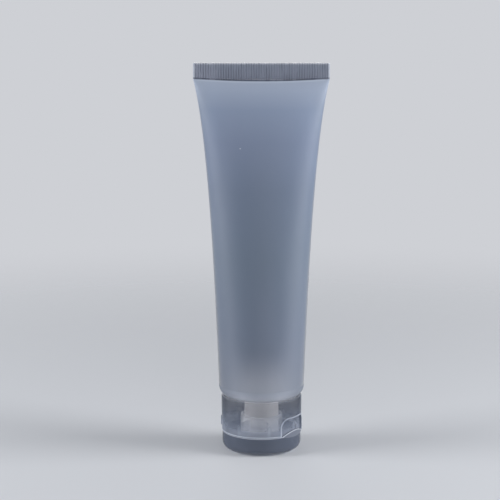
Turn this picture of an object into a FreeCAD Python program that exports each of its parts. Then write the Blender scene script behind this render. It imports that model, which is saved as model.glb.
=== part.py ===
import FreeCAD, Part
import math
import os
import re
import Sketcher

# Refillable squeeze tube that stands on its flip-top cap.
# Millimetres, +Z up. The origin is the middle of the lid's flat face, on the surface that the
# tube stands on. The heat seal at the top runs along X. The cap's thumb side is turned from
# the front, -Y, towards +X.

DRIVING_SIZES = [
    # the whole tube
    ("overall_height", 147.0),
    ("tube_diameter", 32.5),
    ("tube_wall", 0.6),
    # heat seal at the top, with its crimped lines
    ("seal_height", 6.0),
    ("seal_corner", 0.45),
    ("crimp_pitch", 0.93),
    ("crimp_width", 0.55),
    ("crimp_depth", 0.13),
    ("crimp_margin", 1.0),
    ("crimp_lead", 0.4),
    # how fast the tube narrows below the seal: a small fullness narrows it quickly
    ("flare_fullness", 0.3),
    ("flare_power", 0.8),
    # moulded head: shoulder and neck
    ("shoulder_round", 4.3),
    ("shoulder_angle", 6.0),
    ("head_wall", 1.0),
    ("weld_land", 0.3),
    ("neck_diameter", 13.0),
    ("neck_wall", 1.3),
    ("neck_fillet", 2.2),
    # base of the cap: its outside lies inside the tube's by the inset
    ("cap_inset", 0.95),
    ("cap_draft", 0.1),
    ("cap_wall", 1.2),
    ("base_height", 13.6),
    ("rim_round", 0.55),
    ("shoulder_gap", 0.2),
    ("step_depth", 1.8),
    ("step_clearance", 0.15),
    ("snap_bead", 0.1),
    ("deck_wall", 1.2),
    ("thread_clearance", 0.6),
    ("socket_wall", 0.9),
    ("socket_height", 6.4),
    ("stiffener_count", 8),
    ("stiffener_wall", 0.8),
    ("stiffener_height", 3.8),
    ("plug_ring_height", 2.0),
    ("plug_ring_wall", 0.8),
    ("plug_ring_clearance", 0.1),
    ("orifice_diameter", 3.6),
    # lid: its outside lies inside the base's by the inset
    ("lid_inset", 0.3),
    ("lid_height", 7.3),
    ("lid_wall", 1.2),
    ("lid_round", 3.0),
    ("parting_gap", 0.2),
    ("parting_round", 0.25),
    ("pin_clearance", 0.1),
    ("pin_reach", 0.8),
    ("pin_taper", 0.15),
    # thumb side: a recess with a raised border in the base, a crescent lip on the lid
    ("thumb_turn", 56.0),
    ("recess_width", 14.6),
    ("recess_height", 7.1),
    ("recess_corner", 3.6),
    ("recess_depth", 0.6),
    ("border_width", 0.5),
    ("border_proud", 0.22),
    ("lip_depth", 0.6),
    ("lip_rise", 1.9),
    ("lip_proud", 0.45),
    ("lip_clearance", 0.15),
    # living hinge
    ("pad_width", 9.6),
    ("pad_height", 3.7),
    ("pad_proud", 0.35),
    ("lid_pad_width", 6.4),
    ("lid_pad_height", 1.3),
    ("film_margin", 0.4),
    ("film_wall", 0.25),
    ("film_reach", 0.5),
]

# Levels and radii that follow from the driving sizes.
TUBE_RADIUS = "(tube_diameter / 2)"
NECK_RADIUS = "(neck_diameter / 2)"
BORE_RADIUS = "(neck_diameter / 2 - neck_wall)"
CAP_RADIUS = "(tube_diameter / 2 - cap_inset)"
CAP_INSIDE = f"({CAP_RADIUS} - cap_wall)"
LID_RADIUS = f"({CAP_RADIUS} - lid_inset)"
LID_INSIDE = f"({LID_RADIUS} - lid_wall)"
LID_TOP = "(lid_height - parting_gap)"
RIM_LEVEL = "(lid_height + base_height)"
SEAL_LEVEL = "(overall_height - seal_height)"
STEP_RADIUS = f"({LID_INSIDE} - step_clearance)"
STEP_LEVEL = "(lid_height - step_depth)"
DECK_LEVEL = "(lid_height - step_depth + deck_wall)"
LEDGE_LEVEL = "(lid_height + deck_wall)"
SOCKET_RADIUS = f"({NECK_RADIUS} + thread_clearance)"
SOCKET_OUTSIDE = f"({SOCKET_RADIUS} + socket_wall)"
ORIFICE_RADIUS = "(orifice_diameter / 2)"
PLUG_OUTSIDE = f"({BORE_RADIUS} - plug_ring_clearance)"
PLUG_INSIDE = f"({BORE_RADIUS} - plug_ring_clearance - plug_ring_wall)"
PIN_RADIUS = f"({ORIFICE_RADIUS} - pin_clearance)"
PIN_TOP = f"({STEP_LEVEL} + pin_reach)"
PAD_FACE = f"({CAP_RADIUS} + pad_proud)"
HINGE_LEVEL = "(lid_height - parting_gap / 2)"

# How far a cutting outline reaches past the surface that it cuts.
OVERCUT = "1"
QUARTER_TURN = math.pi / 2

# The shoulder's round corner clears the inner edge of the cap's rim by shoulder_gap.
CORNER_CENTRE_RADIUS = f"({TUBE_RADIUS} - shoulder_round)"
CORNER_CENTRE_LEVEL = (
    f"({RIM_LEVEL} + shoulder_gap"
    f" + sqrt(shoulder_round ^ 2 - ({CAP_INSIDE} - {CORNER_CENTRE_RADIUS}) ^ 2))"
)
SHOULDER_LEVEL = (
    f"({CORNER_CENTRE_LEVEL} - shoulder_round / cos(shoulder_angle)"
    f" + shoulder_round * tan(shoulder_angle))"
)
WELD_LEVEL = f"({CORNER_CENTRE_LEVEL} + weld_land)"
CONE_DROP = f"(({TUBE_RADIUS} - {NECK_RADIUS}) * tan(shoulder_angle))"
CONE_DROP_INSIDE = f"(({TUBE_RADIUS} - {BORE_RADIUS}) * tan(shoulder_angle))"
CONE_WALL = "(head_wall / cos(shoulder_angle))"

# The wall's middle surface keeps its circumference from the round end to the flat seal.
MIDDLE_DIAMETER = "(tube_diameter - tube_wall)"
SEAL_HALF_WIDTH = f"(pi * {MIDDLE_DIAMETER} / 4 + tube_wall / 2)"
SEAL_THICKNESS = "(2 * tube_wall)"

doc = FreeCAD.newDocument("squeeze_tube")
sheet = doc.addObject("Spreadsheet::Sheet", "sizes")
for row, (name, size) in enumerate(DRIVING_SIZES, start=1):
    sheet.set(f"A{row}", name)
    sheet.set(f"B{row}", str(size))
    sheet.setAlias(f"B{row}", name)
doc.recompute()

SIZE_NAMES = {name for name, _ in DRIVING_SIZES}


def on_sheet(formula):
    """The formula with each driving size read from the sheet."""
    def with_sheet(word):
        return "sizes." + word[0] if word[0] in SIZE_NAMES else word[0]
    return re.sub(r"[a-z_]+", with_sheet, formula)


def value(formula):
    """The formula's present value."""
    return float(sheet.evalExpression(on_sheet(formula)))


def bind(item, prop, formula):
    item.setExpression(prop, on_sheet(formula))


def new_body(label):
    body = doc.addObject("PartDesign::Body", label)
    body.Label = label
    return body


def new_sketch(body, name, plane, lift="0"):
    """A sketch on one of the body's origin planes, lifted along the plane's normal."""
    sketch = body.newObject("Sketcher::SketchObject", name)
    origin_plane = next(item for item in body.Origin.OriginFeatures if item.Role == plane)
    sketch.AttachmentSupport = [(origin_plane, "")]
    sketch.MapMode = "FlatFace"
    if lift != "0":
        bind(sketch, "AttachmentOffset.Base.z", lift)
    return sketch


def pin_point(sketch, geometry, point, across, up):
    """Fixes one point of a sketch by its two formulas."""
    for kind, formula in (("DistanceX", across), ("DistanceY", up)):
        number = sketch.addConstraint(
            Sketcher.Constraint(kind, -1, 1, geometry, point, value(formula))
        )
        bind(sketch, f"Constraints[{number}]", formula)


def outline(sketch, corners):
    """A closed outline of straight lines through corners given as pairs of formulas."""
    places = [FreeCAD.Vector(value(across), value(up), 0) for across, up in corners]
    first = sketch.GeometryCount
    for here, there in zip(places, places[1:] + places[:1]):
        sketch.addGeometry(Part.LineSegment(here, there), False)
    for number, (across, up) in enumerate(corners):
        following = (number + 1) % len(corners)
        sketch.addConstraint(
            Sketcher.Constraint("Coincident", first + number, 2, first + following, 1)
        )
        pin_point(sketch, first + number, 1, across, up)
    return sketch


def rectangle(sketch, left, right, low, high):
    return outline(sketch, [(left, low), (right, low), (right, high), (left, high)])


def turned(body, kind, name, sketch):
    """A feature revolved all round the sketch's upright axis."""
    feature = body.newObject(kind, name)
    feature.Profile = sketch
    feature.ReferenceAxis = (sketch, ["V_Axis"])
    feature.Angle = 360
    doc.recompute()
    return feature


def pushed(body, kind, name, sketch, length, reverse=False):
    """A pad or a pocket."""
    feature = body.newObject(kind, name)
    feature.Profile = sketch
    bind(feature, "Length", length)
    feature.Reversed = reverse
    doc.recompute()
    return feature


def mid_padded(body, name, sketch, length):
    """A pad that grows to both sides of its sketch."""
    feature = pushed(body, "PartDesign::Pad", name, sketch, length)
    feature.Midplane = True
    doc.recompute()
    return feature


def round_edges(body, name, base, radius, wanted):
    """Rounds the edges of a feature that the test picks."""
    picked = [f"Edge{n}" for n, edge in enumerate(base.Shape.Edges, start=1) if wanted(edge)]
    fillet = body.newObject("PartDesign::Fillet", name)
    fillet.Base = (base, picked)
    bind(fillet, "Radius", radius)
    doc.recompute()
    return fillet


def ring_at(radius, level):
    """A test for a full circle about the Z axis."""
    def wanted(edge):
        curve = edge.Curve
        return (
            isinstance(curve, Part.Circle)
            and abs(curve.Radius - value(radius)) < 1e-4
            and abs(curve.Center.z - value(level)) < 1e-4
        )
    return wanted


# Sleeve: a thin extruded tube, round at the head and drawn flat into the heat seal.
# Its sections crowd towards the seal, where the width changes fastest.
SECTION_COUNT = 9
SECTION_CROWDING = 1.6


def middle_half_width(fall):
    """Half width of the wall's middle surface at a share of the height below the seal."""
    flat = f"(pi * {MIDDLE_DIAMETER} / 4)"
    gained = f"({flat} - {MIDDLE_DIAMETER} / 2)"
    curve = f"({fall} / (flare_fullness + (1 - flare_fullness) * {fall} ^ flare_power))"
    return f"({flat} - {gained} * {curve})"


def middle_half_depth(half_width):
    """Half depth of an ellipse that has the round sleeve's circumference."""
    total = MIDDLE_DIAMETER
    linear = f"(6 * {total} - 8 * {half_width})"
    rest = f"(6 * {half_width} ^ 2 - 6 * {total} * {half_width} + {total} ^ 2)"
    return f"(({linear} + sqrt({linear} ^ 2 - 24 * {rest})) / 12)"


def sleeve_section(body, name, fall, offset):
    """One cross-section of the sleeve, offset from the wall's middle surface."""
    level = f"({SEAL_LEVEL} - ({SEAL_LEVEL} - {WELD_LEVEL}) * {fall})"
    sketch = new_sketch(body, name, "XY_Plane", level)
    origin = FreeCAD.Vector(0, 0, 0)
    if fall == 1:
        radius = f"({MIDDLE_DIAMETER} / 2 + {offset})"
        sketch.addGeometry(Part.Circle(origin, FreeCAD.Vector(0, 0, 1), value(radius)), False)
        sketch.addConstraint(Sketcher.Constraint("Coincident", 0, 3, -1, 1))
        number = sketch.addConstraint(Sketcher.Constraint("Radius", 0, value(radius)))
        bind(sketch, f"Constraints[{number}]", radius)
        return sketch
    middle = middle_half_width(fall)
    half_width = f"({middle} + {offset})"
    half_depth = f"({middle_half_depth(middle)} + {offset})"
    sketch.addGeometry(Part.Ellipse(origin, value(half_width), value(half_depth)), False)
    sketch.exposeInternalGeometry(0)
    sketch.addConstraint(Sketcher.Constraint("Coincident", 0, 3, -1, 1))
    sketch.addConstraint(Sketcher.Constraint("Horizontal", 1))
    for geometry, half in ((1, half_width), (2, half_depth)):
        number = sketch.addConstraint(Sketcher.Constraint("Distance", geometry, 2 * value(half)))
        bind(sketch, f"Constraints[{number}]", f"2 * {half}")
    return sketch


def sleeve_loft(body, kind, name, offset):
    """A loft through the sleeve's sections, from the round end to the seal."""
    falls = [(1 - n / (SECTION_COUNT - 1)) ** SECTION_CROWDING for n in range(SECTION_COUNT)]
    sections = [
        sleeve_section(body, f"{name}_section_{n}", round(fall, 6), offset)
        for n, fall in enumerate(falls)
    ]
    loft = body.newObject(kind, name)
    loft.Profile = sections[0]
    loft.Sections = sections[1:]
    doc.recompute()
    return loft


def make_sleeve():
    body = new_body("tube_sleeve")
    sleeve_loft(body, "PartDesign::AdditiveLoft", "outer_surface", "tube_wall / 2")
    sleeve_loft(body, "PartDesign::SubtractiveLoft", "inner_surface", "(-tube_wall / 2)")

    band = new_sketch(body, "seal_outline", "XY_Plane", SEAL_LEVEL)
    half_thickness = f"({SEAL_THICKNESS} / 2)"
    rectangle(band, f"-{SEAL_HALF_WIDTH}", SEAL_HALF_WIDTH, f"-{half_thickness}", half_thickness)
    seal = pushed(body, "PartDesign::Pad", "heat_seal", band, "seal_height")

    def upright_corner(edge):
        ends = [vertex.Point for vertex in edge.Vertexes]
        return (
            len(ends) == 2
            and abs(ends[0].z - ends[1].z) > value("seal_height") * 0.99
            and abs(abs(ends[0].x) - value(SEAL_HALF_WIDTH)) < 1e-4
        )

    seal = round_edges(body, "seal_corners", seal, "seal_corner", upright_corner)

    # Crimp: upright grooves from the jaws of the sealing tool, on both faces. They start a
    # little above the band's lower edge, so that none opens into the sleeve.
    first = f"(-{SEAL_HALF_WIDTH} + crimp_margin)"
    groove = new_sketch(body, "crimp_groove", "XY_Plane", f"({SEAL_LEVEL} + crimp_lead)")
    for side in ("", "-"):
        outline(groove, [
            (f"{first} - crimp_width / 2", f"{side}({half_thickness} + {OVERCUT})"),
            (f"{first} - crimp_width / 2", f"{side}{half_thickness}"),
            (first, f"{side}({half_thickness} - crimp_depth)"),
            (f"{first} + crimp_width / 2", f"{side}{half_thickness}"),
            (f"{first} + crimp_width / 2", f"{side}({half_thickness} + {OVERCUT})"),
        ])
    cut = pushed(body, "PartDesign::Pocket", "crimp", groove, "seal_height", reverse=True)
    row = body.newObject("PartDesign::LinearPattern", "crimp_row")
    row.Originals = [cut]
    row.Direction = (groove, ["H_Axis"])
    spread = f"(2 * ({SEAL_HALF_WIDTH} - crimp_margin))"
    bind(row, "Length", spread)
    row.Occurrences = int(value(spread) / value("crimp_pitch")) + 1
    body.Tip = row
    doc.recompute()
    return body


# Head: shoulder and neck, moulded in one and welded to the sleeve's round end.
def make_head():
    body = new_body("tube_head")
    profile = new_sketch(body, "head_profile", "XZ_Plane")
    inner_corner = f"{SHOULDER_LEVEL} - head_wall * tan(shoulder_angle) + {CONE_WALL}"
    outline(profile, [
        (TUBE_RADIUS, WELD_LEVEL),
        (TUBE_RADIUS, SHOULDER_LEVEL),
        (NECK_RADIUS, f"{SHOULDER_LEVEL} - {CONE_DROP}"),
        (NECK_RADIUS, DECK_LEVEL),
        (BORE_RADIUS, DECK_LEVEL),
        (BORE_RADIUS, f"{SHOULDER_LEVEL} - {CONE_DROP_INSIDE} + {CONE_WALL}"),
        (f"{TUBE_RADIUS} - head_wall", inner_corner),
        (f"{TUBE_RADIUS} - head_wall", WELD_LEVEL),
    ])
    head = turned(body, "PartDesign::Revolution", "head", profile)
    head = round_edges(
        body, "corner_outside", head, "shoulder_round", ring_at(TUBE_RADIUS, SHOULDER_LEVEL)
    )
    head = round_edges(
        body, "corner_inside", head, "shoulder_round - head_wall",
        ring_at(f"({TUBE_RADIUS} - head_wall)", inner_corner),
    )
    head = round_edges(
        body, "neck_root", head, "neck_fillet",
        ring_at(NECK_RADIUS, f"{SHOULDER_LEVEL} - {CONE_DROP}"),
    )
    round_edges(
        body, "bore_root", head, "neck_fillet / 2",
        ring_at(BORE_RADIUS, f"{SHOULDER_LEVEL} - {CONE_DROP_INSIDE} + {CONE_WALL}"),
    )
    return body


def arch(sketch, half_width, low, high, corner):
    """A closed outline with a flat foot and two rounded upper corners."""
    x, low_z, high_z, r = value(half_width), value(low), value(high), value(corner)
    ahead = FreeCAD.Vector(0, 0, 1)
    first = sketch.GeometryCount
    spots = [
        FreeCAD.Vector(across, level, 0)
        for across, level in (
            (-x, low_z), (x, low_z), (x, high_z - r), (x - r, high_z), (r - x, high_z), (-x, high_z - r)
        )
    ]
    foot, side, top, other = (
        Part.LineSegment(spots[0], spots[1]),
        Part.LineSegment(spots[1], spots[2]),
        Part.LineSegment(spots[3], spots[4]),
        Part.LineSegment(spots[5], spots[0]),
    )
    right_arc = Part.ArcOfCircle(
        Part.Circle(FreeCAD.Vector(x - r, high_z - r, 0), ahead, r), 0, QUARTER_TURN
    )
    left_arc = Part.ArcOfCircle(
        Part.Circle(FreeCAD.Vector(r - x, high_z - r, 0), ahead, r), QUARTER_TURN, 2 * QUARTER_TURN
    )
    sketch.addGeometry([foot, side, right_arc, top, left_arc, other], False)
    foot, side, right_arc, top, left_arc, other = range(first, first + 6)
    sketch.addConstraint([
        Sketcher.Constraint("Coincident", foot, 2, side, 1),
        Sketcher.Constraint("Tangent", side, 2, right_arc, 1),
        Sketcher.Constraint("Tangent", right_arc, 2, top, 1),
        Sketcher.Constraint("Tangent", top, 2, left_arc, 1),
        Sketcher.Constraint("Tangent", left_arc, 2, other, 1),
        Sketcher.Constraint("Coincident", other, 2, foot, 1),
        Sketcher.Constraint("Vertical", side),
        Sketcher.Constraint("Vertical", other),
        Sketcher.Constraint("Horizontal", top),
        Sketcher.Constraint("Equal", right_arc, left_arc),
    ])
    pin_point(sketch, foot, 1, f"-{half_width}", low)
    pin_point(sketch, foot, 2, half_width, low)
    number = sketch.addConstraint(Sketcher.Constraint("Radius", right_arc, r))
    bind(sketch, f"Constraints[{number}]", corner)
    number = sketch.addConstraint(Sketcher.Constraint("DistanceY", -1, 1, top, 1, high_z))
    bind(sketch, f"Constraints[{number}]", high)
    return sketch


def past_corners(reach):
    """A radius beyond the corners of a block as wide as the recess that ends at the reach."""
    return f"(sqrt({reach} ^ 2 + recess_width ^ 2 / 4) + {OVERCUT})"


# Base of the cap: skirt, deck, threaded socket, ribs and one half of the hinge.
# In its own body the thumb side looks along +X.
def make_base():
    body = new_body("cap_base")
    skirt = new_sketch(body, "skirt_profile", "XZ_Plane")
    outline(skirt, [
        (CAP_RADIUS, RIM_LEVEL),
        (f"{CAP_RADIUS} - cap_draft", "lid_height"),
        (CAP_INSIDE, "lid_height"),
        (CAP_INSIDE, RIM_LEVEL),
    ])
    ring = turned(body, "PartDesign::Revolution", "skirt", skirt)
    round_edges(
        body, "skirt_edge", ring, "parting_round",
        ring_at(f"({CAP_RADIUS} - cap_draft)", "lid_height"),
    )

    # Thumb recess: a raised border pushed through the skirt, trimmed back to the border's
    # own radius, opened inside and closed again by a thinner wall.
    reach = f"({CAP_RADIUS} + {OVERCUT})"
    border = new_sketch(body, "border_outline", "YZ_Plane")
    recess_top = "(lid_height + recess_height)"
    arch(border, "(recess_width / 2)", "lid_height", recess_top, "recess_corner")
    pushed(body, "PartDesign::Pad", "border", border, reach)
    trim = new_sketch(body, "border_trim", "XZ_Plane")
    rectangle(
        trim, f"({CAP_RADIUS} + border_proud)", past_corners(reach),
        f"(lid_height - {OVERCUT})", f"({recess_top} + {OVERCUT})",
    )
    turned(body, "PartDesign::Groove", "border_face", trim)
    window = new_sketch(body, "recess_outline", "YZ_Plane")
    arch(
        window, "(recess_width / 2 - border_width)", f"(lid_height - {OVERCUT})",
        f"({recess_top} - border_width)", "(recess_corner - border_width)",
    )
    pushed(body, "PartDesign::Pocket", "recess", window, reach, reverse=True)
    floor = new_sketch(body, "recess_floor_profile", "XZ_Plane")
    rectangle(
        floor, CAP_INSIDE, f"({CAP_RADIUS} - recess_depth)",
        "lid_height", f"({recess_top} + border_width)",
    )
    turned(body, "PartDesign::Revolution", "recess_floor", floor)
    inside = new_sketch(body, "skirt_inside", "XZ_Plane")
    rectangle(
        inside, "0", CAP_INSIDE, f"(lid_height - {OVERCUT})", f"({RIM_LEVEL} + {OVERCUT})"
    )
    hollow = turned(body, "PartDesign::Groove", "skirt_hollow", inside)

    # What joins the skirt from inside is sunk a quarter of the wall into it.
    in_skirt = f"({CAP_INSIDE} + cap_wall / 4)"
    deck = new_sketch(body, "deck_profile", "XZ_Plane")
    bead_level = f"({STEP_LEVEL} + step_depth / 2)"
    outline(deck, [
        (in_skirt, LEDGE_LEVEL),
        (in_skirt, "lid_height"),
        (STEP_RADIUS, "lid_height"),
        (STEP_RADIUS, f"{bead_level} + 2 * snap_bead"),
        (f"{STEP_RADIUS} + snap_bead", bead_level),
        (STEP_RADIUS, f"{bead_level} - 2 * snap_bead"),
        (STEP_RADIUS, STEP_LEVEL),
        (f"{ORIFICE_RADIUS} + pin_taper", STEP_LEVEL),
        (ORIFICE_RADIUS, f"{STEP_LEVEL} + pin_taper"),
        (ORIFICE_RADIUS, DECK_LEVEL),
        (PLUG_INSIDE, DECK_LEVEL),
        (PLUG_INSIDE, f"{DECK_LEVEL} + plug_ring_height"),
        (PLUG_OUTSIDE, f"{DECK_LEVEL} + plug_ring_height"),
        (PLUG_OUTSIDE, DECK_LEVEL),
        (SOCKET_RADIUS, DECK_LEVEL),
        (SOCKET_RADIUS, f"{DECK_LEVEL} + socket_height"),
        (SOCKET_OUTSIDE, f"{DECK_LEVEL} + socket_height"),
        (SOCKET_OUTSIDE, DECK_LEVEL),
        (f"{STEP_RADIUS} - deck_wall", DECK_LEVEL),
        (f"{STEP_RADIUS} - deck_wall", LEDGE_LEVEL),
    ])
    turned(body, "PartDesign::Revolution", "deck", deck)

    # Radial ribs stiffen the socket. Each follows the step in the deck.
    web = new_sketch(body, "stiffener_outline", "XZ_Plane")
    in_socket = f"({SOCKET_OUTSIDE} - socket_wall / 2)"
    bend = f"({STEP_RADIUS} - deck_wall / 2)"
    rib_top = f"({LEDGE_LEVEL} + stiffener_height)"
    outline(web, [
        (in_socket, f"({DECK_LEVEL} - deck_wall / 2)"),
        (bend, f"({DECK_LEVEL} - deck_wall / 2)"),
        (bend, f"({LEDGE_LEVEL} - deck_wall / 2)"),
        (in_skirt, f"({LEDGE_LEVEL} - deck_wall / 2)"),
        (in_skirt, rib_top),
        (in_socket, rib_top),
    ])
    rib = mid_padded(body, "stiffener", web, "stiffener_wall")
    ribs = body.newObject("PartDesign::PolarPattern", "stiffeners")
    ribs.Originals = [rib]
    ribs.Axis = (web, ["V_Axis"])
    ribs.Angle = 360
    bind(ribs, "Occurrences", "stiffener_count")
    body.Tip = ribs
    doc.recompute()

    pad = new_sketch(body, "pad_outline", "XY_Plane", "lid_height")
    rectangle(pad, f"-{PAD_FACE}", f"-{in_skirt}", "-pad_width / 2", "pad_width / 2")
    last = pushed(body, "PartDesign::Pad", "hinge_pad", pad, "pad_height")
    round_edges(body, "rim", last, "rim_round", ring_at(CAP_RADIUS, RIM_LEVEL))
    return body


# Lid: a shallow cup with a wide rounded edge, a plug pin, a thumb lip and its hinge pad.
def make_lid():
    body = new_body("cap_lid")
    shell = new_sketch(body, "lid_profile", "XZ_Plane")
    outline(shell, [
        ("0", "0"),
        (LID_RADIUS, "0"),
        (LID_RADIUS, LID_TOP),
        (LID_INSIDE, LID_TOP),
        (LID_INSIDE, "lid_wall"),
        (PIN_RADIUS, "lid_wall"),
        (PIN_RADIUS, STEP_LEVEL),
        (f"{PIN_RADIUS} - pin_taper", PIN_TOP),
        ("0", PIN_TOP),
    ])
    lid = turned(body, "PartDesign::Revolution", "lid_shell", shell)
    lid = round_edges(body, "lid_edge", lid, "lid_round", ring_at(LID_RADIUS, "0"))
    lid = round_edges(
        body, "lid_edge_inside", lid, "lid_round - lid_wall", ring_at(LID_INSIDE, "lid_wall")
    )
    round_edges(body, "lid_mouth", lid, "parting_round", ring_at(LID_RADIUS, LID_TOP))

    # The crescent lip is a lens across the parting line: its upper edge arches into the
    # recess, and its lower part joins it to the wall. It is pushed out from beyond the pin,
    # trimmed to its radius, hollowed inside the wall and cleared from the recess's floor.
    lip_start = f"({PIN_RADIUS} + {OVERCUT})"
    lip_end = f"({LID_RADIUS} + {OVERCUT})"
    lip_half = "(recess_width / 2 - border_width - lip_clearance)"
    lens = new_sketch(body, "lip_outline", "YZ_Plane", lip_start)
    half, level = value(lip_half), value(LID_TOP)
    right, left = FreeCAD.Vector(half, level, 0), FreeCAD.Vector(-half, level, 0)
    lens.addGeometry([
        Part.Arc(right, FreeCAD.Vector(0, level + value("lip_rise"), 0), left),
        Part.Arc(left, FreeCAD.Vector(0, level - value("lip_depth"), 0), right),
    ], False)
    lens.addConstraint([
        Sketcher.Constraint("Coincident", 0, 2, 1, 1),
        Sketcher.Constraint("Coincident", 1, 2, 0, 1),
    ])
    pin_point(lens, 0, 1, lip_half, LID_TOP)
    pin_point(lens, 0, 2, f"-{lip_half}", LID_TOP)
    for arc, height in enumerate(("lip_rise", "lip_depth")):
        swing = f"(({lip_half} ^ 2 + {height} ^ 2) / (2 * {height}))"
        number = lens.addConstraint(Sketcher.Constraint("Radius", arc, value(swing)))
        bind(lens, f"Constraints[{number}]", swing)
    pushed(body, "PartDesign::Pad", "lip", lens, f"({lip_end} - {lip_start})")
    trim = new_sketch(body, "lip_trim", "XZ_Plane")
    rectangle(
        trim, f"({LID_RADIUS} + lip_proud)", past_corners(lip_end),
        f"({LID_TOP} - lip_depth - {OVERCUT})", f"({LID_TOP} + lip_rise + {OVERCUT})",
    )
    turned(body, "PartDesign::Groove", "lip_face", trim)
    inside = new_sketch(body, "lip_inside", "XZ_Plane")
    lip_back = f"({CAP_RADIUS} - recess_depth + lip_clearance)"
    outline(inside, [
        (lip_start, f"({LID_TOP} - lip_depth - lip_proud)"),
        (LID_INSIDE, f"({LID_TOP} - lip_depth - lip_proud)"),
        (LID_INSIDE, LID_TOP),
        (lip_back, LID_TOP),
        (lip_back, f"({LID_TOP} + lip_rise + {OVERCUT})"),
        (lip_start, f"({LID_TOP} + lip_rise + {OVERCUT})"),
    ])
    turned(body, "PartDesign::Groove", "lip_hollow", inside)

    pad = new_sketch(body, "pad_outline", "XY_Plane", f"({LID_TOP} - lid_pad_height)")
    rectangle(
        pad, f"-{PAD_FACE}", f"-({LID_INSIDE} + lid_wall / 4)",
        "-lid_pad_width / 2", "lid_pad_width / 2",
    )
    pushed(body, "PartDesign::Pad", "hinge_pad", pad, "lid_pad_height")
    return body


# Living hinge: a thin web that bulges out of the parting line when the lid is shut.
def make_film():
    body = new_body("hinge_film")
    web = new_sketch(body, "film_profile", "XZ_Plane")
    outside, inside = "(film_reach + film_wall / 2)", "(film_reach - film_wall / 2)"
    middle = FreeCAD.Vector(value(f"-{PAD_FACE}"), value(HINGE_LEVEL), 0)
    ahead = FreeCAD.Vector(0, 0, 1)
    for radius in (outside, inside):
        circle = Part.Circle(middle, ahead, value(radius))
        web.addGeometry(Part.ArcOfCircle(circle, QUARTER_TURN, 3 * QUARTER_TURN), False)
    for sign in (1, -1):
        web.addGeometry(Part.LineSegment(
            FreeCAD.Vector(middle.x, middle.y + sign * value(inside), 0),
            FreeCAD.Vector(middle.x, middle.y + sign * value(outside), 0),
        ), False)
    web.addConstraint([
        Sketcher.Constraint("Coincident", 2, 2, 0, 1),
        Sketcher.Constraint("Coincident", 2, 1, 1, 1),
        Sketcher.Constraint("Coincident", 3, 2, 0, 2),
        Sketcher.Constraint("Coincident", 3, 1, 1, 2),
    ])
    for arc in (0, 1):
        number = web.addConstraint(Sketcher.Constraint("DistanceX", -1, 1, arc, 3, middle.x))
        bind(web, f"Constraints[{number}]", f"-{PAD_FACE}")
    for geometry, sign in ((2, "+"), (3, "-")):
        pin_point(web, geometry, 1, f"-{PAD_FACE}", f"{HINGE_LEVEL} {sign} {inside}")
        pin_point(web, geometry, 2, f"-{PAD_FACE}", f"{HINGE_LEVEL} {sign} {outside}")
    mid_padded(body, "film", web, "(lid_pad_width - 2 * film_margin)")
    return body


sleeve = make_sleeve()
head = make_head()
cap_pieces = [make_base(), make_lid(), make_film()]
for piece in cap_pieces:
    bind(piece, "Placement.Rotation.Angle", "thumb_turn - 90")
doc.recompute()

pieces = [sleeve, head] + cap_pieces
broken = [item.Name for item in doc.Objects if "Invalid" in item.State or "Error" in item.State]
if broken:
    raise RuntimeError("these features failed: " + ", ".join(broken))
for piece in pieces:
    if piece.Shape.isNull() or not piece.Shape.isValid():
        raise RuntimeError(piece.Label + " has no valid shape")

os.makedirs("parts", exist_ok=True)
for piece in pieces:
    piece.Shape.exportStep("parts/" + piece.Label + ".step")
    box = piece.Shape.optimalBoundingBox()
    corners = ", ".join(
        f"{low:.2f} to {high:.2f}"
        for low, high in ((box.XMin, box.XMax), (box.YMin, box.YMax), (box.ZMin, box.ZMax))
    )
    print(f"{piece.Label}: {len(piece.Shape.Solids)} solid, volume {piece.Shape.Volume:.1f}, {corners}")
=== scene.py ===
import math

import bpy
from mathutils import Matrix, Vector


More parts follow.
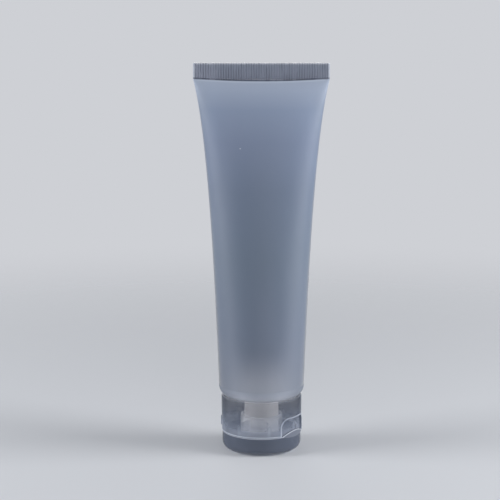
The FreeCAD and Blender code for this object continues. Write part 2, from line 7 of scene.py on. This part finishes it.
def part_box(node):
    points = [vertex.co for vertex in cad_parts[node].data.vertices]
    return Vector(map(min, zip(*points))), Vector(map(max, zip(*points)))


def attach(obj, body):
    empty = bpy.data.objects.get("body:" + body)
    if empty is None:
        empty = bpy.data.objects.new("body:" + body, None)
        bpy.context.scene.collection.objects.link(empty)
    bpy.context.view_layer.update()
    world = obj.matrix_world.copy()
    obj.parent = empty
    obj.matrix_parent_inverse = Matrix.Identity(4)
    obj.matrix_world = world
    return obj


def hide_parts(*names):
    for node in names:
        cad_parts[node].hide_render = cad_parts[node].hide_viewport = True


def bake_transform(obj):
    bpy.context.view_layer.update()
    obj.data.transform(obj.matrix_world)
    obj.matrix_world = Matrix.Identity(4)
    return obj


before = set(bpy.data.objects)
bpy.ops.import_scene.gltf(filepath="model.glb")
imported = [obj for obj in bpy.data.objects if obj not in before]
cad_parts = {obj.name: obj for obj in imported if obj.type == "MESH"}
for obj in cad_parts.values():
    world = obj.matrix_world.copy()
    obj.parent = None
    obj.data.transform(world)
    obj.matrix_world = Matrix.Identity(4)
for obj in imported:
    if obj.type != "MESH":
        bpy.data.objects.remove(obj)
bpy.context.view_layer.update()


# Sleeve: a tube of soft polyethylene, extruded with a frosted skin, cut to length, welded to
# the head at its round end and pressed flat and crimped into the heat seal at the other. The
# thin wall looks blue-grey; it whitens towards the seal, partly where the two walls come close
# and partly as painted light, and painted shade darkens the middle of the body.
class Signal:
    """A value that varies over a piece: one output socket of its material."""

    def __init__(self, nodes, socket):
        self.nodes = nodes
        self.socket = socket

    def math(self, operation, *others):
        """A Math node with this value first and the others after it."""
        return self.nodes.math(operation, self, *others)

    def __add__(self, other):
        return self.math("ADD", other)

    def __sub__(self, other):
        return self.math("SUBTRACT", other)

    def __rsub__(self, other):
        return self.nodes.math("SUBTRACT", other, self)

    def __mul__(self, other):
        return self.math("MULTIPLY", other)

    def __truediv__(self, other):
        return self.math("DIVIDE", other)

    def __abs__(self):
        return self.math("ABSOLUTE")

    __radd__ = __add__
    __rmul__ = __mul__

    def rise(self, low, high):
        """0 below low, 1 above high, with a soft climb between them."""
        return self.nodes.node(
            "ShaderNodeMapRange", {"interpolation_type": "SMOOTHSTEP"},
            {"Value": self, "From Min": low, "From Max": high},
        )

    def band(self, middle, half_width, blur):
        """1 within half_width of the middle, 0 beyond half_width plus blur."""
        return 1 - abs(self - middle).rise(half_width, half_width + blur)


class Nodes:
    """The nodes of a material or of the world."""

    def __init__(self, tree):
        self.tree = tree

    def feed(self, socket, value):
        if isinstance(value, Signal):
            self.tree.links.new(value.socket, socket)
        else:
            socket.default_value = value

    def node(self, kind, settings, values, output=0):
        """Any node: its settings first, then the values or links of its sockets."""
        made = self.tree.nodes.new(kind)
        for name, setting in settings.items():
            if name == "stops":
                ramp = made.color_ramp
                while len(ramp.elements) < len(setting):
                    ramp.elements.new(0.5)
                for element, (place, colour) in zip(ramp.elements, setting):
                    element.position = place
                    element.color = colour
            else:
                setattr(made, name, setting)
        for name, value in values.items():
            self.feed(made.inputs[name], value)
        return Signal(self, made.outputs[output])

    def math(self, operation, *values):
        return self.node("ShaderNodeMath", {"operation": operation}, dict(enumerate(values)))

    def mix(self, factor, first, second):
        """Two colours mixed by a factor."""
        return self.node(
            "ShaderNodeMix", {"data_type": "RGBA"}, {0: factor, 6: first, 7: second}, 2
        )


class Paint(Nodes):
    """A material with one Principled shader and the nodes that feed it."""

    def __init__(self, name, **even):
        self.material = bpy.data.materials.new(name)
        self.material.use_nodes = True
        super().__init__(self.material.node_tree)
        self.shader = self.tree.nodes["Principled BSDF"]
        self.shade(**even)

    def place(self):
        """The X, Y and Z of the point, in metres in the object's own frame."""
        here = self.node("ShaderNodeTexCoord", {}, {}, "Object")
        split = [self.node("ShaderNodeSeparateXYZ", {}, {0: here}, axis) for axis in range(3)]
        return here, *split

    def ramp(self, signal, low, high, stops):
        """A colour read from stops, given as pairs of a value and a colour, along a signal."""
        places = [((value - low) / (high - low), colour) for value, colour in stops]
        share = (signal - low) / (high - low)
        return self.node("ShaderNodeValToRGB", {"stops": places}, {0: share})

    def grain(self, here, per_metre, detail=3, stretch=(1, 1, 1)):
        """Noise from 0 to 1 with a given number of waves to the metre, stretched by axis."""
        scaled = self.node("ShaderNodeMapping", {}, {"Vector": here, "Scale": stretch})
        return self.node(
            "ShaderNodeTexNoise", {}, {"Vector": scaled, "Scale": per_metre, "Detail": detail}
        )

    def bump(self, height, depth):
        """Raises the surface by depth metres where the height signal is 1."""
        self.shade(Normal=self.node(
            "ShaderNodeBump", {}, {"Height": height, "Distance": depth}, "Normal"
        ))

    def shade(self, **signals):
        """Feeds sockets of the shader, each named with _ for a space."""
        for socket, value in signals.items():
            self.feed(self.shader.inputs[socket.replace("_", " ")], value)

    def put_on(self, piece):
        piece.data.materials.clear()
        piece.data.materials.append(self.material)


def seen(red, green, blue):
    """A colour from its 0 to 255 screen values."""
    return tuple(
        c / 12.92 if c <= 0.04045 else ((c + 0.055) / 1.055) ** 2.4
        for c in (red / 255, green / 255, blue / 255)
    ) + (1.0,)


def frosted(paint, here, roughness, spread):
    """A fine frosted skin, a little rougher in some places than in others."""
    frost = paint.grain(here, FROST_PER_METRE, 2)
    paint.shade(Roughness=roughness + frost * spread)
    paint.bump(frost, FROST_DEPTH)


MM = 0.001
SLEEVE_FOOT = 25 * MM
SEAL_LEVEL = 141 * MM
SEAL_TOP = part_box("tube_sleeve")[1][2]
SEAL_HALF_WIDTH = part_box("tube_sleeve")[1][0]
SEAL_BOW = 0.83 * MM
SEAL_DROP = 0.7 * MM
CRIMP_PITCH = 0.93 * MM
CRIMP_MARGIN = 1.0 * MM
PLAIN_END = 0.6 * MM
BITE_RISE = 0.3 * MM
CREST_DROP = 0.35 * MM
FOLD_LEVEL = 124 * MM
SPECK = (-7.82 * MM, 116.1 * MM)
SPECK_RADIUS = 0.35 * MM
FROST_PER_METRE = 9000
FROST_DEPTH = 0.015 * MM

sleeve_paint = Paint(
    "frosted_polyethylene", Specular_IOR_Level=0.3,
    Sheen_Weight=0.9, Sheen_Roughness=0.3, Sheen_Tint=(1, 0.95, 0.87, 1),
)
here, x, y, z = sleeve_paint.place()
# Painted light and shade along the height: darker through the middle, paler towards the seal.
wall = sleeve_paint.ramp(z, SLEEVE_FOOT, SEAL_TOP, [
    (SLEEVE_FOOT, seen(110, 117, 130)),
    (33 * MM, seen(105, 113, 128)),
    (46 * MM, seen(100, 110, 127)),
    (75 * MM, seen(100, 112, 129)),
    (100 * MM, seen(104, 116, 136)),
    (118 * MM, seen(115, 127, 150)),
    (130 * MM, seen(129, 142, 165)),
    (137 * MM, seen(151, 162, 182)),
    (SEAL_LEVEL, seen(158, 168, 186)),
])
mottle = sleeve_paint.grain(here, 60, 2, (1, 1, 0.25))
wall = sleeve_paint.mix(mottle.rise(0.35, 0.75) * 0.1, wall, seen(146, 152, 170))

# Painted shade: the two sides are a little darker below the seal, where the flat wall turns round.
fold_shade = abs(x).rise(17 * MM, 25 * MM) * z.band(FOLD_LEVEL, 6 * MM, 12 * MM)
wall = sleeve_paint.mix(fold_shade * 0.35, wall, seen(100, 106, 112))

# One speck of dust sits in the skin of the front.
aside = x - SPECK[0]
above = z - SPECK[1]
from_speck = (aside * aside + above * above).math("SQRT")
speck = (1 - from_speck.rise(0.1 * MM, SPECK_RADIUS)) * (1 - y.rise(-1 * MM, 0))
wall = sleeve_paint.mix(speck * 0.5, wall, seen(214, 218, 226))

# The white shoulder shows through the lower end, and painted light lifts the shade most along
# the middle of front and back.
shown_and_fill_light = (1 - abs(x).rise(3 * MM, 15 * MM)) * (1 - z.rise(SLEEVE_FOOT, 42 * MM))
wall = sleeve_paint.mix(shown_and_fill_light * 0.6, wall, seen(160, 164, 174))

# The crimped band is paler at one end with painted light, with painted shade in its crimp
# grooves and in the line where the jaws bit, and a painted highlight along its cut edge.
bow = (x / SEAL_HALF_WIDTH) * (x / SEAL_HALF_WIDTH) * SEAL_BOW
above_line = z - bow - (SEAL_LEVEL - SEAL_DROP)
band = above_line.rise(-0.05 * MM, 0.05 * MM)
# The top 0.4 mm of the band is a painted highlight on the cut edge.
seal_colour = sleeve_paint.ramp(z, SEAL_LEVEL, SEAL_TOP, [
    (SEAL_LEVEL, seen(116, 122, 138)),
    (145.6 * MM, seen(120, 127, 142)),
    (146.4 * MM, seen(126, 132, 146)),
    (146.6 * MM, seen(176, 181, 192)),
    (SEAL_TOP, seen(190, 194, 204)),
])
# Painted light: the seal is paler towards its -X end.
painted_light_end = 1 - x.rise(-24 * MM, -12 * MM)
seal_colour = sleeve_paint.mix(painted_light_end * 0.3, seal_colour, seen(160, 164, 180))
# Painted shade in the crimp grooves, uneven along the band.
crimped_half = SEAL_HALF_WIDTH - CRIMP_MARGIN
crimp_count = int(2 * crimped_half / CRIMP_PITCH)
phase = (x + crimped_half) * (math.pi * crimp_count / crimped_half)
groove = phase.math("COSINE") * 0.5 + 0.5
crimp_unevenness = sleeve_paint.grain(here, 350, 3, (1, 0, 0.35)).rise(0.35, 0.62)
crimp_shade = groove * crimp_unevenness * (1 - abs(x).rise(crimped_half, SEAL_HALF_WIDTH - PLAIN_END))
seal_colour = sleeve_paint.mix(crimp_shade * 0.6, seal_colour, seen(80, 86, 102))
# Painted highlights at the seal's two ends.
end_highlights = abs(x).rise(SEAL_HALF_WIDTH - 0.8 * MM, SEAL_HALF_WIDTH - PLAIN_END)
seal_colour = sleeve_paint.mix(end_highlights * 0.7, seal_colour, seen(176, 182, 194))
# Painted shade in the line where the jaws bit.
bite_shade = above_line.band(BITE_RISE, 0.16 * MM, 0.2 * MM) * (0.45 + crimp_unevenness * 0.4)
seal_colour = sleeve_paint.mix(bite_shade, seal_colour, seen(58, 64, 80))
# Painted highlight along the crest just below the seal.
crest = above_line.band(-CREST_DROP, 0.15 * MM, 0.2 * MM)
wall = sleeve_paint.mix(crest * 0.4, wall, seen(186, 194, 208))
sleeve_paint.shade(Base_Color=sleeve_paint.mix(band, wall, seal_colour))
frosted(sleeve_paint, here, 0.42, 0.14)
sleeve_paint.put_on(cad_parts["tube_sleeve"])


# Head: shoulder and neck, injection moulded in a stiffer, whiter grade and welded to the
# sleeve. The neck carries an outside thread, and the whole head is frosted like the sleeve.
NECK_FOOT = 7 * MM
NECK_TOP = 19.3 * MM
NECK_RADIUS = 6.5 * MM
THREAD_PITCH = 1.8 * MM
THREAD_RISE = 0.3 * MM
THREAD_FOOT = 0.9 * MM
THREAD_CREST = 0.35 * MM
THREAD_TURNS = 2.5
THREAD_START = 8.4 * MM
THREAD_SUNK = 0.1 * MM

head_paint = Paint("frosted_head", Specular_IOR_Level=0.15, Emission_Strength=1.0)
here, x, y, z = head_paint.place()
# Painted light: the colour peaks at the neck's root to lift the shade under the shoulder.
moulded_and_lit = head_paint.ramp(z, 6 * MM, 26 * MM, [
    (NECK_FOOT, seen(180, 180, 185)),
    (18 * MM, seen(180, 180, 185)),
    (20.5 * MM, seen(200, 203, 211)),
    (22 * MM, seen(176, 180, 190)),
    (23.5 * MM, seen(158, 163, 175)),
    (25 * MM, seen(146, 152, 164)),
])
# Painted shade at the two sides of the neck's root and the shoulder's underside.
flank_shade = abs(x).rise(6 * MM, 15 * MM) * z.rise(17 * MM, 21 * MM)
head_paint.shade(Base_Color=head_paint.mix(flank_shade * 0.8, moulded_and_lit, seen(112, 118, 130)))

# The thick milky neck carries light inside it, and a painted glow stands in for that, stronger
# near the top where it lifts the shade under the shoulder.
lit = (1 - z.rise(NECK_TOP, 21 * MM)) * (0.2 + z.rise(13 * MM, 19 * MM) * 0.12)
head_paint.shade(Emission_Color=head_paint.mix(lit, (0, 0, 0, 1), (0.97, 0.98, 1, 1)))
frosted(head_paint, here, 0.4, 0.15)
head_paint.put_on(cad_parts["tube_head"])


def new_thread(name, root, crest, start, turns):
    """A helical ridge between two radii, with its ends run out into the wall that carries it."""
    middle = (root + crest) / 2
    bpy.ops.object.select_all(action="DESELECT")
    bpy.ops.mesh.primitive_plane_add(
        size=1, location=(middle, 0, start), rotation=(math.pi / 2, 0, 0)
    )
    thread = bpy.context.object
    thread.name = name
    thread.scale = (abs(crest - root), THREAD_FOOT, 1)
    bpy.ops.object.transform_apply()
    for corner in thread.data.vertices:
        if abs(corner.co.x - crest) < abs(corner.co.x - root):
            corner.co.z = start + math.copysign(THREAD_CREST / 2, corner.co.z - start)
    screw = thread.modifiers.new("screw", "SCREW")
    screw.axis = "Z"
    screw.angle = turns * 2 * math.pi
    screw.screw_offset = turns * THREAD_PITCH
    screw.steps = screw.render_steps = round(turns * 64)
    bpy.ops.object.modifier_apply(modifier="screw")
    for corner in thread.data.vertices:
        angle = math.atan2(corner.co.y, corner.co.x) / (2 * math.pi)
        turn = (corner.co.z - start) / THREAD_PITCH
        turn = angle + round(turn - angle)
        fullness = min(1, max(0, 3 * min(turn, turns - turn)))
        radius = math.hypot(corner.co.x, corner.co.y)
        wanted = root + (radius - root) * (0.02 + 0.98 * fullness)
        corner.co.x *= wanted / radius
        corner.co.y *= wanted / radius
    bpy.ops.object.mode_set(mode="EDIT")
    bpy.ops.mesh.select_all(action="SELECT")
    bpy.ops.mesh.remove_doubles(threshold=0.002 * MM)
    bpy.ops.mesh.fill_holes(sides=0)
    bpy.ops.mesh.normals_make_consistent(inside=False)
    bpy.ops.object.mode_set(mode="OBJECT")
    bpy.ops.object.shade_smooth_by_angle(angle=math.radians(35))
    return thread


neck_thread = new_thread(
    "neck_thread", NECK_RADIUS - THREAD_SUNK, NECK_RADIUS + THREAD_RISE,
    THREAD_START, THREAD_TURNS,
)
head_paint.put_on(neck_thread)
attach(neck_thread, "tube")


# Base of the cap: clear polypropylene with a faint smoky cast, moulded in one with the lid.
# Ribs, the recess's border, the ledge over the lid and the rim carry painted highlights, and the
# ribs' roots are a little denser than the thin skirt.
PARTING = 7.2 * MM
RIM_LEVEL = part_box("cap_base")[1][2]
SKIRT_INSIDE = 14.3 * MM
LEDGE_LEVEL = 7.42 * MM
LEDGE_RADIUS = 15.2 * MM
FLOOR_LEVEL = 8.6 * MM
SOCKET_RADIUS = 7.1 * MM
SOCKET_OUTSIDE = 8.05 * MM
SOCKET_TURNS = 2.0
SOCKET_THREAD_RISE = 0.24 * MM
RIB_COUNT = 8
RIB_LEVEL = 9.8 * MM
RIB_BLUR = 1.1 * MM
BORDER_FOOT = 15.36 * MM
BORDER_FACE = 15.53 * MM
THUMB_TURN = math.radians(34)


def radius_of(x, y):
    """The distance from the Z axis."""
    return (x * x + y * y).math("SQRT")


def either(first, *others):
    """Near 1 where any of the signals is near 1."""
    clear = 1 - first
    for signal in others:
        clear = clear * (1 - signal)
    return 1 - clear


def smooth_plastic(paint, here):
    """A smooth moulded skin with a faint haze."""
    haze = paint.grain(here, 250, 3)
    paint.shade(Roughness=0.16 + haze * 0.08)


cap_paint = Paint("clear_polypropylene", Specular_IOR_Level=0.06)
here, x, y, z = cap_paint.place()
radius = radius_of(x, y)
# The skirt darkens towards the top, painted shade under the sleeve's shoulder.
skirt = cap_paint.ramp(z, 5 * MM, 21 * MM, [
    (5 * MM, seen(120, 127, 140)),
    (9 * MM, seen(126, 134, 150)),
    (12 * MM, seen(102, 110, 126)),
    (15 * MM, seen(58, 69, 88)),
    (18 * MM, seen(26, 38, 60)),
])
outside = radius.rise(SKIRT_INSIDE, SKIRT_INSIDE + 0.2 * MM) * z.rise(PARTING - 0.2 * MM, PARTING)
ledge = z.band(LEDGE_LEVEL, 0.16 * MM, 0.2 * MM) * radius.band(LEDGE_RADIUS, 0.25 * MM, 0.1 * MM)
off_rib = (y.math("ARCTAN2", x) + THUMB_TURN).math("PINGPONG", math.pi / RIB_COUNT) * radius
rib_root = (1 - off_rib.rise(0, RIB_BLUR)) * z.band(RIB_LEVEL, 1.2 * MM, 1.6 * MM) * outside
border = radius.rise(BORDER_FOOT, BORDER_FOOT + 0.08 * MM)
border = border * (1 - radius.rise(BORDER_FACE, BORDER_FACE + 0.03 * MM))
rim = z.rise(RIM_LEVEL - 0.3 * MM, RIM_LEVEL - 0.1 * MM)
# Painted highlights at the ledge, the rib roots, the recess's border and the rim.
painted_highlights = either(ledge * 0.85, rib_root * 0.16, border * 0.5, rim * 0.3)
floor = (1 - z.rise(FLOOR_LEVEL, FLOOR_LEVEL + 0.3 * MM)) * (1 - radius.rise(13.9 * MM, 14.2 * MM))
tint = cap_paint.mix(painted_highlights, skirt, seen(200, 206, 219))
tint = cap_paint.mix(floor * 0.6, tint, seen(150, 156, 170))

# The socket lies close round the neck and looks milky, with painted shade towards +X.
socket = 1 - radius.rise(SOCKET_OUTSIDE, SOCKET_OUTSIDE + 0.2 * MM)
milky_and_shaded = cap_paint.mix(x.rise(0, 7 * MM), seen(238, 239, 243), seen(205, 208, 215))
tint = cap_paint.mix(socket * (0.7 + 0.3 * z.rise(9 * MM, 11 * MM)), tint, milky_and_shaded)

# The skirt is denser near the lid, and painted shade makes it denser at its two sides, under the
# ends of the seal.
smoky_and_side_shade = 0.48 + abs(x).rise(13 * MM, 14.8 * MM) * 0.2 - 0.1 * z.rise(11 * MM, 15 * MM)
cover = 0.12 + outside * smoky_and_side_shade + floor * 0.15 + socket * (0.5 - 0.2 * z.rise(9 * MM, 14 * MM))
cap_paint.shade(Base_Color=tint, Alpha=either(cover, painted_highlights * 0.7))
smooth_plastic(cap_paint, here)
cap_paint.put_on(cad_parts["cap_base"])

# Light passes the real wall to the neck, so the base casts no shadow.
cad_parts["cap_base"].visible_shadow = False

socket_thread = new_thread(
    "socket_thread", SOCKET_RADIUS + THREAD_SUNK, SOCKET_RADIUS - SOCKET_THREAD_RISE,
    THREAD_START + THREAD_PITCH / 2, SOCKET_TURNS,
)
cap_paint.put_on(socket_thread)
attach(socket_thread, "cap")


# Lid: a shallow cup of the same clear polypropylene, with a plug pin that closes the orifice
# and an arched lip for the thumb. Its edges catch thin lines of light.
LID_WALL = 0.9 * MM
FOOT_RADIUS = 12.4 * MM
TOP_EDGE_LEVEL = 7.0 * MM
TOP_EDGE_RADIUS = 14.9 * MM
LIP_FACE = 15.1 * MM
LIP_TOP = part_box("cap_lid")[1][2]
LIP_RISE = 1.9 * MM
LIP_FOOT = LIP_TOP - LIP_RISE
LIP_HALF = 6.65 * MM
LIP_SWING = (LIP_HALF ** 2 + LIP_RISE ** 2) / (2 * LIP_RISE)

lid_paint = Paint("clear_lid", Specular_IOR_Level=0.06)
here, x, y, z = lid_paint.place()
radius = radius_of(x, y)
cup = lid_paint.ramp(z, 0, 8 * MM, [
    (0, seen(98, 104, 117)),
    (2.5 * MM, seen(88, 95, 110)),
    (7 * MM, seen(86, 93, 108)),
])
hollow = 1 - radius.rise(SKIRT_INSIDE, SKIRT_INSIDE + 0.2 * MM)
outside = 1 - hollow * z.rise(LID_WALL, LID_WALL + 0.2 * MM)
cup = lid_paint.mix(outside, seen(128, 135, 149), cup)
foot_edge = (1 - z.rise(0.4 * MM, 0.7 * MM)) * radius.rise(FOOT_RADIUS, FOOT_RADIUS + 0.3 * MM)
top_edge = z.band(TOP_EDGE_LEVEL, 0.12 * MM, 0.1 * MM)
top_edge = top_edge * radius.band(TOP_EDGE_RADIUS, 0.15 * MM, 0.1 * MM)

# The lip's line follows its arc, a circle laid on the curved wall from the thumb side.
across = x * math.sin(THUMB_TURN) + y * math.cos(THUMB_TURN)
over = z - (LIP_TOP - LIP_SWING)
reach = LIP_SWING - (across * across + over * over).math("SQRT")
lip = radius.rise(LIP_FACE, LIP_FACE + 0.1 * MM)
lip_line = lip * z.rise(LIP_FOOT - 0.1 * MM, LIP_FOOT) * (1 - reach.rise(0.12 * MM, 0.32 * MM))
painted_highlights = either(foot_edge, top_edge * 0.4, lip_line * 0.65, lip * 0.15)
lid_paint.shade(
    Base_Color=lid_paint.mix(painted_highlights, cup, seen(214, 219, 230)),
    Alpha=0.2 + outside * 0.62 + painted_highlights * 0.15,
)
smooth_plastic(lid_paint, here)
lid_paint.put_on(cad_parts["cap_lid"])


# Living hinge: a thin web of the same moulding between the two hinge pads. It bulges outwards,
# as it does when the lid is shut.
HINGE_WAY = Vector((-math.cos(THUMB_TURN), math.sin(THUMB_TURN), 0))
HINGE_ALONG = Vector((-HINGE_WAY.y, HINGE_WAY.x, 0))
PAD_FACE = 15.65 * MM
WEB_WIDTH = 5.6 * MM
WEB_REACH = 0.5 * MM
WEB_WALL = 0.25 * MM
WEB_STEPS = 24

bpy.ops.object.select_all(action="DESELECT")
bpy.ops.mesh.primitive_plane_add(size=1)
hinge_web = bpy.context.object
hinge_web.name = "hinge_web"
hinge_web.scale = (WEB_WALL, WEB_WIDTH, 1)
hinge_web.location = (0, 0, WEB_REACH)
hinge_web.rotation_euler = (0, math.pi / 2, 0)
bpy.ops.object.transform_apply()
bpy.ops.object.mode_set(mode="EDIT")
bpy.ops.mesh.select_all(action="SELECT")
bpy.ops.mesh.spin(
    steps=WEB_STEPS, angle=-math.pi, center=(0, 0, 0), axis=(0, 1, 0), use_normal_flip=True
)
bpy.ops.object.mode_set(mode="OBJECT")
cap_paint.put_on(hinge_web)
hinge_web.data.transform(Matrix((
    (HINGE_WAY.x, HINGE_ALONG.x, 0, HINGE_WAY.x * PAD_FACE),
    (HINGE_WAY.y, HINGE_ALONG.y, 0, HINGE_WAY.y * PAD_FACE),
    (0, 0, 1, PARTING),
    (0, 0, 0, 1),
)))
bpy.ops.object.mode_set(mode="EDIT")
bpy.ops.mesh.select_all(action="SELECT")
bpy.ops.mesh.remove_doubles(threshold=0.001 * MM)
bpy.ops.mesh.normals_make_consistent(inside=False)
bpy.ops.object.mode_set(mode="OBJECT")
bpy.ops.object.shade_smooth_by_angle(angle=math.radians(35))
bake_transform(hinge_web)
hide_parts("hinge_film")


# Studio: a pale floor that fades into a pale room, two tall soft lamps at the sides and weaker
# ones in front and behind, and the camera a little above the tube.
FLOOR_RADIUS = 0.5
FLOOR_FADE = 0.1

bpy.ops.object.select_all(action="DESELECT")
bpy.ops.mesh.primitive_circle_add(vertices=96, radius=FLOOR_RADIUS, fill_type="NGON")
floor_disc = bpy.context.object
floor_disc.name = "floor_disc"
floor_paint = Paint("pale_paper", Roughness=0.9, Specular_IOR_Level=0.1)
here, x, y, z = floor_paint.place()
far = radius_of(x, y).rise(FLOOR_FADE, 0.97 * FLOOR_RADIUS)
floor_paint.shade(Base_Color=seen(208, 210, 214), Alpha=1 - far)
floor_paint.put_on(floor_disc)


def aimed(thing, place, aim):
    """Puts a lamp or a camera at a place and turns it towards a point."""
    thing.location = place
    thing.rotation_euler = (Vector(aim) - Vector(place)).to_track_quat("-Z", "Y").to_euler()
    bpy.context.collection.objects.link(thing)


def soft_lamp(name, place, width, height, power):
    lamp = bpy.data.lights.new(name, "AREA")
    lamp.shape = "RECTANGLE"
    lamp.size = width
    lamp.size_y = height
    lamp.energy = power
    aimed(bpy.data.objects.new(name, lamp), place, MIDDLE)


MIDDLE = (0, 0, 0.075)
soft_lamp("left_lamp", (-0.55, -0.1, 0.22), 0.3, 0.6, 3.2)
soft_lamp("right_lamp", (0.55, -0.1, 0.22), 0.3, 0.6, 4.2)
soft_lamp("front_lamp", (0.1, -0.95, 0.28), 0.5, 0.4, 1.8)
soft_lamp("back_lamp", (-0.1, 0.95, 0.35), 0.5, 0.4, 1.6)

world = bpy.data.worlds.new("soft_room")
bpy.context.scene.world = world
world.use_nodes = True
room = Nodes(world.node_tree)
straight, mirrored, passed = (
    room.node("ShaderNodeLightPath", {}, {}, f"Is {kind} Ray")
    for kind in ("Camera", "Glossy", "Transmission")
)
seen_room = straight.math("MAXIMUM", mirrored).math("MAXIMUM", passed)
glow = world.node_tree.nodes["Background"].inputs
room.feed(glow["Color"], room.mix(seen_room, seen(200, 205, 214), seen(206, 208, 213)))
room.feed(glow["Strength"], 0.35 + seen_room * 0.65)

CAMERA_PLACE = (0, -600 * MM, 180.2 * MM)
CAMERA_AIM = (0, 0, 76.7 * MM)
CAMERA_SENSOR = 36
CAMERA_LENS = 116.1
CAMERA_SHIFT = -0.0229

camera_data = bpy.data.cameras.new("camera")
camera_data.sensor_width = CAMERA_SENSOR
camera_data.lens = CAMERA_LENS
camera_data.shift_x = CAMERA_SHIFT
camera = bpy.data.objects.new("camera", camera_data)
aimed(camera, CAMERA_PLACE, CAMERA_AIM)
bpy.context.scene.camera = camera
bpy.context.scene.view_settings.view_transform = "Standard"
